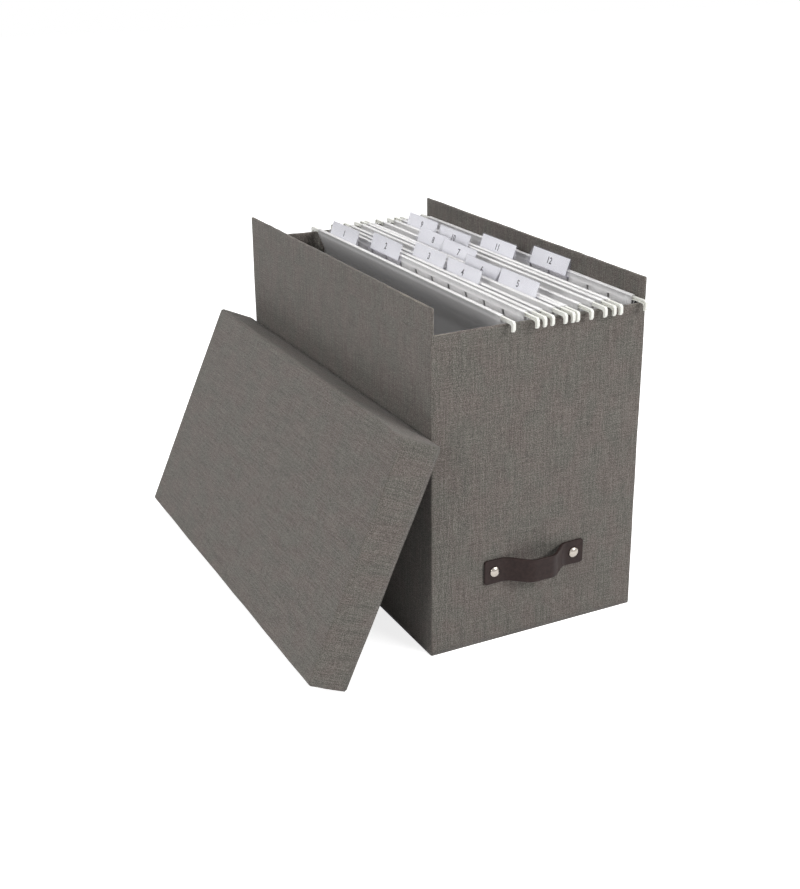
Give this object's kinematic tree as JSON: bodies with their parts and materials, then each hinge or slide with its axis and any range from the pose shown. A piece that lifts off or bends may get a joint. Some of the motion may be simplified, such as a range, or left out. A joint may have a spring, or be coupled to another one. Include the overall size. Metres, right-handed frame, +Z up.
{
  "type": "hanging file box",
  "caption": "Cloth-covered board box holding hanging files between two lower end walls, with a leather pull and a lift-off lid that leans on its side.",
  "frame": {"origin": "centre of the box's underside, on the surface it stands on", "axes": "+Z up; -Y out of the end wall with the pull; +X to the box's right side; the lid leans on the -X side"},
  "size_m": [0.2807, 0.364, 0.265],
  "materials": {
    "book_cloth": "woven, matt, heathered grey",
    "greyboard": "raw grey card board",
    "lining_paper": "matt dark grey paper",
    "strap_leather": "smooth dark brown, slightly waxed",
    "rivet_metal": "bright nickel",
    "file_card": "matt white card",
    "hanger_bar": "ivory coating",
    "clear_tab": "clear, glossy",
    "label_paper": "matt white paper"
  },
  "bodies": {
    "box": {"base_board": "greyboard", "left_side_board": "greyboard", "right_side_board": "greyboard", "front_end_board": "greyboard", "rear_end_board": "greyboard", "box_cloth": "book_cloth", "box_lining": "lining_paper", "base_cloth": "book_cloth", "pull_strap": "strap_leather", "pull_rivet_left": "rivet_metal", "pull_rivet_right": "rivet_metal", "pull_washer_left": "rivet_metal", "pull_washer_right": "rivet_metal"},
    "lid": {"lid_top_board": "greyboard", "lid_upper_skirt": "greyboard", "lid_lower_skirt": "greyboard", "lid_front_skirt": "greyboard", "lid_rear_skirt": "greyboard", "lid_cloth": "book_cloth", "lid_lining": "lining_paper"},
    "file_1": {"file_1_sheet": "file_card", "file_1_left_bar": "hanger_bar", "file_1_right_bar": "hanger_bar", "file_1_tabs": "clear_tab", "file_1_labels": "label_paper"},
    "file_2": {"file_2_sheet": "file_card", "file_2_left_bar": "hanger_bar", "file_2_right_bar": "hanger_bar", "file_2_tabs": "clear_tab", "file_2_labels": "label_paper"},
    "file_3": {"file_3_sheet": "file_card", "file_3_left_bar": "hanger_bar", "file_3_right_bar": "hanger_bar", "file_3_tabs": "clear_tab", "file_3_labels": "label_paper"},
    "file_4": {"file_4_sheet": "file_card", "file_4_left_bar": "hanger_bar", "file_4_right_bar": "hanger_bar", "file_4_tabs": "clear_tab", "file_4_labels": "label_paper"},
    "file_5": {"file_5_sheet": "file_card", "file_5_left_bar": "hanger_bar", "file_5_right_bar": "hanger_bar", "file_5_tabs": "clear_tab", "file_5_labels": "label_paper"},
    "file_6": {"file_6_sheet": "file_card", "file_6_left_bar": "hanger_bar", "file_6_right_bar": "hanger_bar", "file_6_tabs": "clear_tab", "file_6_labels": "label_paper"}
  },
  "joints": [
    {"name": "lid_tip", "type": "hinge", "parent": "box", "child": "lid", "pos_m": [-0.16486, 0, 0.0003], "axis": [0, -1, 0], "range_deg": [0, 24]},
    {"name": "file_1_lift", "type": "slide", "parent": "box", "child": "file_1", "axis": [0, 0, 1], "range_m": [0, 0.26]},
    {"name": "file_2_lift", "type": "slide", "parent": "box", "child": "file_2", "axis": [0, 0, 1], "range_m": [0, 0.26]},
    {"name": "file_3_lift", "type": "slide", "parent": "box", "child": "file_3", "axis": [0, 0, 1], "range_m": [0, 0.26]},
    {"name": "file_4_lift", "type": "slide", "parent": "box", "child": "file_4", "axis": [0, 0, 1], "range_m": [0, 0.26]},
    {"name": "file_5_lift", "type": "slide", "parent": "box", "child": "file_5", "axis": [0, 0, 1], "range_m": [0, 0.26]},
    {"name": "file_6_lift", "type": "slide", "parent": "box", "child": "file_6", "axis": [0, 0, 1], "range_m": [0, 0.26]}
  ]
}
